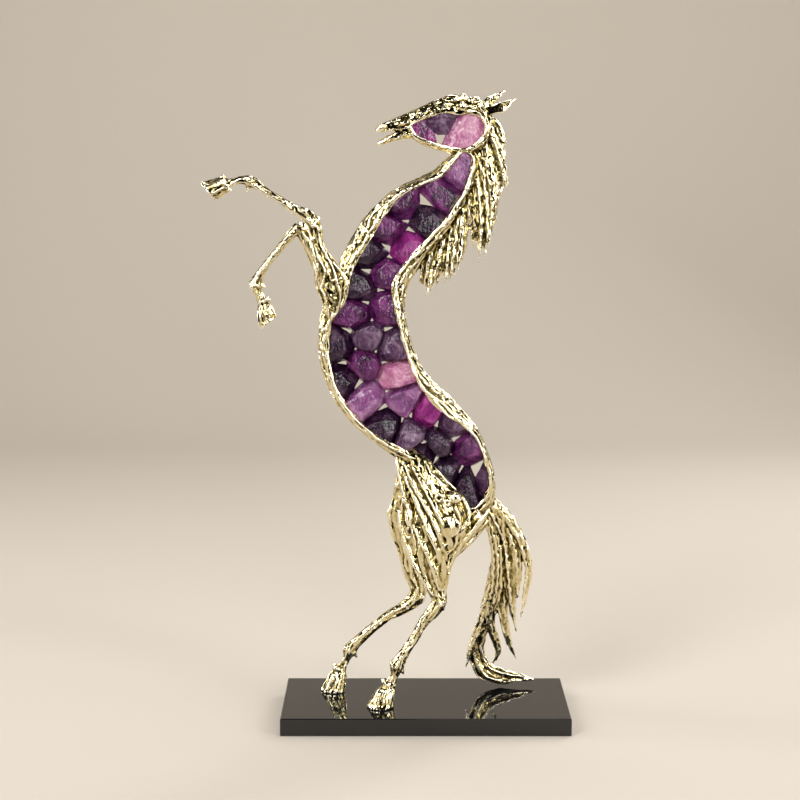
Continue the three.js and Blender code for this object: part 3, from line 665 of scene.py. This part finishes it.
def buttocks(wax):
    """Webs of wax from the croup down to the hocks, which fill the haunches out behind."""
    for rows in BUTTOCKS:
        form = limb_form(rows)
        core(wax, form, BUTTOCK_CORE)
        sinews(wax, form, *BUTTOCK_SINEWS)


def joint(wax, x, z, y, radius):
    """A joint: a ball set with knuckles."""
    centre = place(x, z, y)
    size = radius * SHARE
    ball(wax, centre, 0.85 * size)
    for _ in range(KNUCKLES):
        spot = centre + unit(rng.normal(size=3)) * 0.72 * size
        ball(wax, spot, size * rng.uniform(0.22, 0.4), rng.uniform(0.7, 1.4, 3), sides=8)


def head(wax):
    """The head: the band round its panel, the jaws, the ridges and knobs of the face, and the ears."""
    panel_band(wax, HEAD_PANEL, 1.5 * MM, strands=7, radius=1.6 * MM)
    for rows in JAWS:
        form = limb_form(rows)
        core(wax, form, 0.78)
        sinews(wax, form, 8, 1.5 * MM)
        nodules(wax, form, 6, 1.4 * MM)
    for side in (-1, 1):
        for depth, ridge in zip(FACE_RIDGE_DEPTHS, FACE_RIDGES):
            rows = [place(x, z, side * depth * (0.6 + 0.4 * i / 6)) for i, (x, z) in enumerate(ridge[::-1])]
            path = smooth_rows(rows, STRAND_STEP)
            t = np.linspace(0, 1, len(path))
            tube(wax, path, swelling(t, len(path) * STRAND_STEP, FACE_RIDGE_RADIUS, 0.5))
        x, z, y, radius, rim = NOSTRIL
        hollow(wax, place(x, z, side * y), radius, rim)
    for x, z, y, radius in KNOBS:
        ball(wax, place(x, z, y), radius * SHARE * 0.9, rng.uniform(0.8, 1.2, 3), sides=9)
    far_ear, near_ear = (limb_form(rows) for rows in EARS)
    core(wax, far_ear, 1)
    near_ear.depth = near_ear.depth * 0.6
    core(wax, near_ear, 0.9)
    for angle in (0, math.pi):
        strand(wax, near_ear, angle, 0.3 * MM, 1.4 * MM, taper=0.5)


def leg(wax, rows, fullness, layers, lumps, sides):
    """A leg: a core, layers of sinews over it, and lumps of wax."""
    form = limb_form(rows)
    core(wax, form, fullness, sides)
    for layer in layers:
        sinews(wax, form, *layer)
    for count, radius, span in lumps:
        nodules(wax, form, count, radius, span=span)


def horse_wax():
    """The whole horse in wax, before it is fused."""
    wax = Wax()
    panel_band(wax, BODY_PANEL, 2 * MM, strands=11, radius=2.1 * MM)
    head(wax)
    for rows in FORELEGS:
        leg(wax, rows, FORELEG_CORE, FORELEG_SINEWS, FORELEG_NODULES, sides=12)
    for rows in HINDLEGS:
        leg(wax, rows, HINDLEG_CORE, HINDLEG_SINEWS, HINDLEG_NODULES, sides=20)
    buttocks(wax)
    haunch_relief(wax)
    for rows in SPURS:
        core(wax, limb_form(rows), 1, sides=8)
    for row in JOINTS:
        joint(wax, *row)
    for y, top, sole, heel in HOOVES:
        hoof(wax, y, top, sole, heel)
    mane(wax)
    for rows in TAIL:
        hair_lock(wax, rows, *TAIL_STRANDS)
    return wax


def modified(obj, settings):
    """The object's mesh after a stack of modifiers, each given as its kind and settings."""
    for kind, values in settings:
        modifier = obj.modifiers.new(kind.lower(), kind)
        for key, value in values.items():
            setattr(modifier, key, value)
    ready = obj.evaluated_get(bpy.context.evaluated_depsgraph_get())
    mesh = bpy.data.meshes.new_from_object(ready)
    obj.modifiers.clear()
    old = obj.data
    obj.data = mesh
    bpy.data.meshes.remove(old)
    return mesh


def triangle_count(mesh):
    return sum(len(p.vertices) - 2 for p in mesh.polygons)


def new_piece(name, mesh, slot, nodes):
    """A piece of the ornament that stands for some of the frame's solids and rides with them."""
    obj = bpy.data.objects.new(name, mesh)
    bpy.context.scene.collection.objects.link(obj)
    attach(obj, "root")
    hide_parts(*nodes)
    return obj


def read_points(mesh, what="co"):
    """A mesh's points, or its normals, as rows."""
    points = np.empty(len(mesh.vertices) * 3, np.float32)
    mesh.vertices.foreach_get(what, points)
    return points.reshape(-1, 3)


def write_points(mesh, points):
    mesh.vertices.foreach_set("co", points.astype(np.float32).ravel())
    mesh.update()


def tool_marks(wax, points):
    """The wax tool's marks at each point, from -1 to 1: long grooves along the nearest strand."""
    paths = np.vstack(wax.paths)
    along = np.vstack([unit(np.gradient(path, axis=0)) for path in wax.paths])
    starts = rng.uniform(0, 1, len(wax.paths))
    runs = [np.arange(len(path)) * STRAND_STEP + start for path, start in zip(wax.paths, starts)]
    tree = kdtree.KDTree(len(paths))
    for i, point in enumerate(paths):
        tree.insert(point, i)
    tree.balance()
    nearest = np.array([tree.find(point)[1] for point in points])
    off = points - paths[nearest]
    ahead = np.sum(off * along[nearest], axis=1)
    off -= along[nearest] * ahead[:, None]
    off[:, 2] += (np.concatenate(runs)[nearest] + ahead) / TOOL_STRETCH
    return np.array([noise.noise(Vector(spot) / TOOL_MARK) for spot in off])


def horse_casting():
    """The wax fused into one skin, softened, grooved, cut level at the soles and kept to its triangles."""
    wax = horse_wax()
    obj = new_piece("gold_casting", wax.mesh("gold_casting"), "champagne_gold", ["horse_casting"])
    modified(obj, [("REMESH", {"mode": "VOXEL", "voxel_size": WAX_GRAIN}),
                   ("SMOOTH", {"factor": 0.5, "iterations": 1})])
    low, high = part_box("horse_casting")
    points = read_points(obj.data)
    marked = points + read_points(obj.data, "normal") * TOOL_DEPTH * tool_marks(wax, points)[:, None]
    write_points(obj.data, np.clip(marked, low, high))
    mesh = modified(obj, [("DECIMATE", {"ratio": min(1, CASTING_TRIANGLES / triangle_count(obj.data))})])
    mesh.name = "gold_casting"
    mesh.shade_smooth()
    return obj


# Stones


def stone(cell, slot):
    """A chunk of amethyst: its cell of the panel with faces broken at a slant and edges worn round."""
    chunk = bmesh.new()
    chunk.from_mesh(frame["nodes"][cell].data)
    bmesh.ops.remove_doubles(chunk, verts=chunk.verts, dist=0.01 * MM)
    points = np.array([v.co for v in chunk.verts])
    centre = (points.max(0) + points.min(0)) / 2
    overlap = np.array(HEAD_OVERLAP.get(cell, (STONE_OVERLAP, 0, STONE_OVERLAP)))
    grow = 1 + overlap / ((points.max(0) - points.min(0)) / 2)
    for vert, point in zip(chunk.verts, centre + (points - centre) * grow):
        vert.co = point
    slant = HEAD_BREAK_SLANT if cell in HEAD_OVERLAP else BREAK_SLANT
    for facing in [-1] * NEAR_BREAKS + [1] * FAR_BREAKS:
        way = unit(np.array((rng.normal() * slant, facing, rng.normal() * slant)))
        depth = np.max((points - centre) @ way) * rng.uniform(*BREAK_DEPTH)
        bmesh.ops.bisect_plane(
            chunk, geom=chunk.verts[:] + chunk.edges[:] + chunk.faces[:], dist=1e-6,
            plane_co=Vector(centre + way * depth), plane_no=Vector(way), clear_outer=True)
        bmesh.ops.holes_fill(chunk, edges=[e for e in chunk.edges if e.is_boundary])
    mesh = bpy.data.meshes.new(cell)
    chunk.to_mesh(mesh)
    chunk.free()
    obj = new_piece("amethyst_" + cell, mesh, slot, [cell])
    modified(obj, [("REMESH", {"mode": "VOXEL", "voxel_size": STONE_GRAIN}),
                   ("SMOOTH", {"factor": 0.5, "iterations": 1})])
    mesh = obj.data
    points = read_points(mesh)
    offset = Vector(rng.uniform(0, 50, 3))
    lumps = np.array([noise.noise(Vector(p) / LUMP_SIZE + offset) for p in points])
    chips = np.array([noise.noise(Vector(p) / CHIP_SIZE + offset) for p in points])
    push = WEAR + LUMP_HEIGHT * lumps + CHIP_HEIGHT * chips
    low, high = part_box(cell)
    grown = points + read_points(mesh, "normal") * push[:, None]
    grown[:, 1] = np.clip(grown[:, 1], low.y, high.y)
    write_points(mesh, grown)
    mesh.shade_smooth()
    mesh.name = obj.name
    return obj


# Materials


def linear(code):
    """An sRGB hex colour as linear RGBA."""
    values = [int(code[i:i + 2], 16) / 255 for i in (1, 3, 5)]
    return [v / 12.92 if v <= 0.04045 else ((v + 0.055) / 1.055) ** 2.4 for v in values] + [1.0]


def colour_stops(band, stops):
    """Sets a ramp's stops from positions and sRGB colours."""
    while len(band.elements) < len(stops):
        band.elements.new(0.5)
    for element, (position, code) in zip(band.elements, stops):
        element.position = position
        element.color = linear(code)


def node(tree, kind, settings=None, links=None):
    """A node with its properties, socket values or colour stops set, and its sockets linked from others."""
    made = tree.nodes.new(kind)
    for key, value in (settings or {}).items():
        if key == "stops":
            colour_stops(made.color_ramp, value)
        elif isinstance(key, int) or key in made.inputs:
            made.inputs[key].default_value = value
        else:
            setattr(made, key, value)
    for key, source in (links or {}).items():
        tree.links.new(source, made.inputs[key])
    return made


def new_material(name, settings):
    """A material of one shader: the material, its node tree and the shader."""
    material = bpy.data.materials.new(name)
    material.use_nodes = True
    tree = material.node_tree
    tree.nodes.clear()
    shader = node(tree, "ShaderNodeBsdfPrincipled", settings)
    node(tree, "ShaderNodeOutputMaterial", links={"Surface": shader.outputs[0]})
    return material, tree, shader


def champagne_gold():
    """Brass, cast, plated in pale gold and buffed: its ridges mirror the room. Its colour holds painted
    shade, near-black and olive, in the grooves and a painted highlight, near-white, on the ridges.
    """
    ripple_width = 5 * MM
    material, tree, shader = new_material("champagne_gold_plate_painted_shade", {"Metallic": 1.0, "Roughness": 0.07})
    # Painted shade and highlight: by how the skin bends, the base colour turns near-black and olive in
    # grooves and near-white on ridges
    edges = node(tree, "ShaderNodeNewGeometry").outputs["Pointiness"]
    painted_shade_and_highlight = node(tree, "ShaderNodeValToRGB", {"stops": [
        (0.445, "#0f0c05"), (0.475, "#635427"), (0.5, "#d4c48f"), (0.55, "#fdf6df")]}, {"Fac": edges})
    tree.links.new(painted_shade_and_highlight.outputs["Color"], shader.inputs["Base Color"])
    position = node(tree, "ShaderNodeTexCoord").outputs["Object"]
    ripple = node(tree, "ShaderNodeTexNoise", {"Scale": 1 / ripple_width, "Detail": 2.0},
                  {"Vector": position})
    bump = node(tree, "ShaderNodeBump", {"Strength": 0.6, "Distance": 0.8 * MM},
                {"Height": ripple.outputs["Fac"]})
    tree.links.new(bump.outputs["Normal"], shader.inputs["Normal"])
    return material


# Amethyst shades: deep, main and pale colour, the share of light let through, and the growth lines' lean
AMETHYST = {
    "amethyst_lilac": ("#4f2454", "#8c4c88", "#c79fbd", 0.35, 40),
    "amethyst_violet": ("#220824", "#571a54", "#8d4582", 0.28, -25),
    "amethyst_magenta": ("#470f42", "#882074", "#b950a0", 0.32, 65),
    "amethyst_plum": ("#0e040f", "#230b25", "#523a50", 0.12, 10),
    "amethyst_smoky": ("#261228", "#4c2b4c", "#8a7088", 0.2, -50),
    "amethyst_rose": ("#94507f", "#c0709e", "#e8b8cd", 0.45, 35),
}


def amethyst(slot):
    """Amethyst, broken and a little worn: cloudy quartz in dark and pale zones, with milky veins, fine growth
    lines that lean one way in each shade, small shell-like breaks and lighter edges, under a wet gloss."""
    zone_width, vein_spacing = 20 * MM, 14 * MM
    line_spacing, break_width = 3 * MM, 2.5 * MM
    deep, main, pale, through, lean = AMETHYST[slot]
    material, tree, shader = new_material(slot, {
        "Roughness": 0.16, "IOR": 1.544, "Transmission Weight": through, "Specular IOR Level": 0.35})
    position = node(tree, "ShaderNodeTexCoord").outputs["Object"]
    cloud = node(tree, "ShaderNodeTexNoise", {
        "Scale": 1 / zone_width, "Detail": 6.0, "Roughness": 0.65, "Distortion": 0.8}, {"Vector": position})
    zone = node(tree, "ShaderNodeValToRGB", {"stops": [(0.34, deep), (0.5, main), (0.68, pale)]},
                {"Fac": cloud.outputs["Fac"]})
    milk = node(tree, "ShaderNodeTexNoise", {"Scale": 1 / vein_spacing, "Detail": 4.0, "Distortion": 3.0},
                {"Vector": position})
    veins = node(tree, "ShaderNodeValToRGB", {"stops": [
        (0.485, "#000000"), (0.5, "#9a9a9a"), (0.515, "#000000")]}, {"Fac": milk.outputs["Fac"]})
    edges = node(tree, "ShaderNodeValToRGB", {"stops": [(0.53, "#000000"), (0.6, "#d0d0d0")]},
                 {"Fac": node(tree, "ShaderNodeNewGeometry").outputs["Pointiness"]})
    bright = node(tree, "ShaderNodeMath", {"operation": "MAXIMUM"},
                  {0: veins.outputs["Color"], 1: edges.outputs["Color"]})
    colour = node(tree, "ShaderNodeMix", {"data_type": "RGBA", 7: linear(pale)},
                  {0: bright.outputs[0], 6: zone.outputs["Color"]})
    tree.links.new(colour.outputs[2], shader.inputs["Base Color"])
    along = node(tree, "ShaderNodeMapping", {"Rotation": (0, math.radians(lean), 0), "Scale": (1, 1, 0.12)},
                 {"Vector": position})
    lines = node(tree, "ShaderNodeTexNoise", {"Scale": 1 / line_spacing, "Detail": 4.0},
                 {"Vector": along.outputs[0]})
    breaks = node(tree, "ShaderNodeTexVoronoi", {"Scale": 1 / break_width}, {"Vector": position})
    broken = node(tree, "ShaderNodeBump", {"Strength": 0.35, "Distance": 0.7 * MM},
                  {"Height": breaks.outputs["Distance"]})
    bump = node(tree, "ShaderNodeBump", {"Strength": 0.6, "Distance": 0.8 * MM},
                {"Height": lines.outputs["Fac"], "Normal": broken.outputs["Normal"]})
    tree.links.new(bump.outputs["Normal"], shader.inputs["Normal"])
    return material


def polished_black():
    """Black stone, ground and polished: a dark mirror with the faintest cloud in its gloss."""
    grain_width = 2 * MM
    material, tree, shader = new_material("polished_black_stone", {"Roughness": 0.04, "IOR": 1.55})
    position = node(tree, "ShaderNodeTexCoord").outputs["Object"]
    grain = node(tree, "ShaderNodeTexNoise", {"Scale": 1 / grain_width, "Detail": 3.0}, {"Vector": position})
    tone = node(tree, "ShaderNodeValToRGB", {"stops": [(0.4, "#0b0b0c"), (0.65, "#151517")]},
                {"Fac": grain.outputs["Fac"]})
    tree.links.new(tone.outputs["Color"], shader.inputs["Base Color"])
    smear = node(tree, "ShaderNodeMapRange", {"To Min": 0.03, "To Max": 0.06},
                 {"Value": grain.outputs["Fac"]})
    tree.links.new(smear.outputs["Result"], shader.inputs["Roughness"])
    return material


def give_finish(piece, material):
    """Gives a piece its one finish."""
    piece.data.materials.clear()
    piece.data.materials.append(material)


# Stage, light and camera


def stage_sweep():
    """A pale floor that sweeps up into a backdrop behind the ornament."""
    profile = [(SWEEP_FRONT, 0.0), (SWEEP_BACK, 0.0)]
    for turn in np.linspace(0.1, math.pi / 2, BEND_STEPS):
        out = SWEEP_BACK + SWEEP_BEND * math.sin(turn)
        profile.append((out, SWEEP_BEND - SWEEP_BEND * math.cos(turn)))
    profile.append((SWEEP_BACK + SWEEP_BEND, SWEEP_HEIGHT))
    points = [(x, y, z) for y, z in profile for x in (-SWEEP_HALF_WIDTH, SWEEP_HALF_WIDTH)]
    faces = [(2 * i, 2 * i + 1, 2 * i + 3, 2 * i + 2) for i in range(len(profile) - 1)]
    mesh = bpy.data.meshes.new("sweep")
    mesh.from_pydata(points, [], faces)
    mesh.shade_smooth()
    sweep = bpy.data.objects.new("sweep", mesh)
    bpy.context.scene.collection.objects.link(sweep)
    paint, _, _ = new_material("pale_sweep", {"Base Color": linear(FLOOR_TONE), "Roughness": 0.8})
    mesh.materials.append(paint)


def soft_box(name, position, size, power):
    """A soft box that faces the ornament."""
    light = bpy.data.lights.new(name, "AREA")
    light.shape = "RECTANGLE"
    light.size, light.size_y = size
    light.energy = power
    lamp = bpy.data.objects.new(name, light)
    bpy.context.scene.collection.objects.link(lamp)
    lamp.location = position
    way = Vector(SOFT_BOX_AIM) - Vector(position)
    lamp.rotation_euler = way.to_track_quat("-Z", "Y").to_euler()


def mirrored_room(tree):
    """Upright strips of light with dark flags between, which draw the black lines in the polished metal."""
    half_strip = 1 / (2 * SOFT_STRIPS)
    toward = node(tree, "ShaderNodeTexCoord").outputs["Generated"]
    way = node(tree, "ShaderNodeSeparateXYZ", links={"Vector": toward})
    turn = node(tree, "ShaderNodeMath", {"operation": "ARCTAN2"}, {0: way.outputs["Y"], 1: way.outputs["X"]})
    share = node(tree, "ShaderNodeMapRange", {"From Min": -math.pi, "From Max": math.pi},
                 {"Value": turn.outputs[0]})
    strips = node(tree, "ShaderNodeMath", {"operation": "PINGPONG", 1: half_strip},
                  {0: share.outputs["Result"]})
    across = node(tree, "ShaderNodeMapRange", {"From Max": half_strip}, {"Value": strips.outputs[0]})
    flags = node(tree, "ShaderNodeValToRGB", {"stops": STRIP_TONES}, {"Fac": across.outputs["Result"]})
    rise = node(tree, "ShaderNodeMapRange", {"From Min": -1.0}, {"Value": way.outputs["Z"]})
    height = node(tree, "ShaderNodeValToRGB", {"stops": HEIGHT_TONES}, {"Fac": rise.outputs["Result"]})
    light = node(tree, "ShaderNodeMix", {"data_type": "RGBA", "blend_type": "MULTIPLY", 0: 1.0},
                 {6: flags.outputs["Color"], 7: height.outputs["Color"]})
    return node(tree, "ShaderNodeBackground", {"Strength": STRIP_LIGHT}, {"Color": light.outputs[2]})


def studio():
    """Soft boxes, the room that the metal mirrors, and a plain pale backdrop that only the camera sees."""
    for box in SOFT_BOXES:
        soft_box(*box)
    bpy.context.scene.view_settings.view_transform = "Standard"
    world = bpy.data.worlds.new("studio")
    bpy.context.scene.world = world
    world.use_nodes = True
    tree = world.node_tree
    tree.nodes.clear()
    room = mirrored_room(tree)
    backdrop = node(tree, "ShaderNodeBackground", {"Color": linear(BACKDROP_TONE)})
    path = node(tree, "ShaderNodeLightPath")
    seen = node(tree, "ShaderNodeMixShader",
                links={0: path.outputs["Is Camera Ray"], 1: room.outputs[0], 2: backdrop.outputs[0]})
    node(tree, "ShaderNodeOutputWorld", links={"Surface": seen.outputs[0]})


def camera():
    """The photograph's view: level across, looking down a little from beside the horse's chest."""
    lens = bpy.data.cameras.new("camera")
    lens.sensor_width = SENSOR_MM
    lens.lens = LENS_MM
    view = bpy.data.objects.new("camera", lens)
    bpy.context.scene.collection.objects.link(view)
    view.location = CAMERA_PLACE
    view.rotation_euler = (math.radians(90 - LOOKS_DOWN), 0, 0)
    bpy.context.scene.camera = view


camera()
studio()
stage_sweep()

give_finish(horse_casting(), champagne_gold())

slots = {part["node"]: part["material_slot"] for part in frame["record"]["subparts"]}
shades = {slot: amethyst(slot) for slot in AMETHYST}
for name in sorted(frame["nodes"]):
    if "stone" in name:
        give_finish(stone(name, slots[name]), shades[slots[name]])

slab_finish = polished_black()
for material_slot in frame["nodes"]["slab"].material_slots:
    material_slot.material = slab_finish
